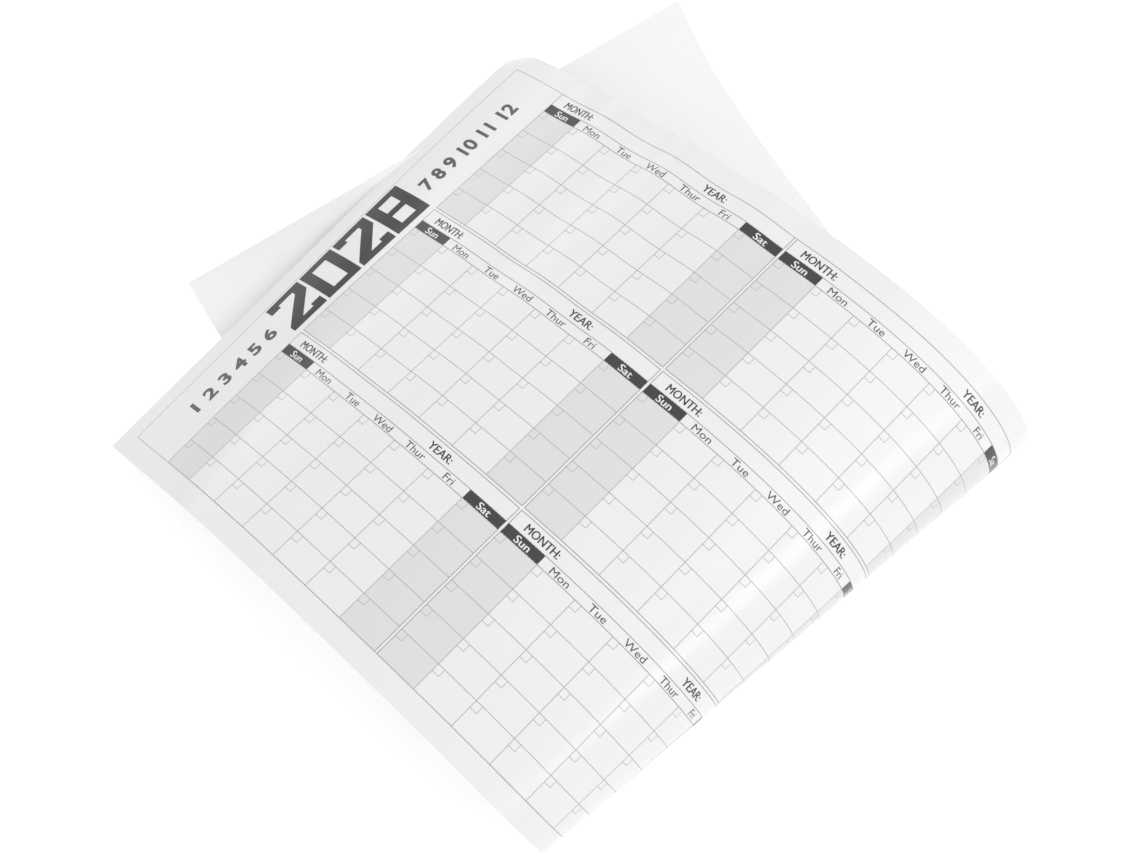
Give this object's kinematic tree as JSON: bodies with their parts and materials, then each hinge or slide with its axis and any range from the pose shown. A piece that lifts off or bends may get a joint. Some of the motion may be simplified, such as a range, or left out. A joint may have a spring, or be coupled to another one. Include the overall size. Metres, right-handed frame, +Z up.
{
  "type": "wall planner sheet",
  "caption": "Wide printed year planner for a wall: one coated paper sheet with a day grid, folded back over itself in a soft open roll.",
  "frame": {"origin": "middle of the bounding box's underside, on the table", "axes": "+Z up; -Y towards the viewer, the side of the sheet's lower long edge; +X towards the soft fold, so the free printed end and the blank end both lie on the -X side"},
  "size_m": [0.4642, 0.477, 0.1336],
  "materials": {
    "printed_paper": "satin"
  },
  "bodies": {
    "root": {"planner_sheet": "printed_paper"}
  },
  "joints": []
}
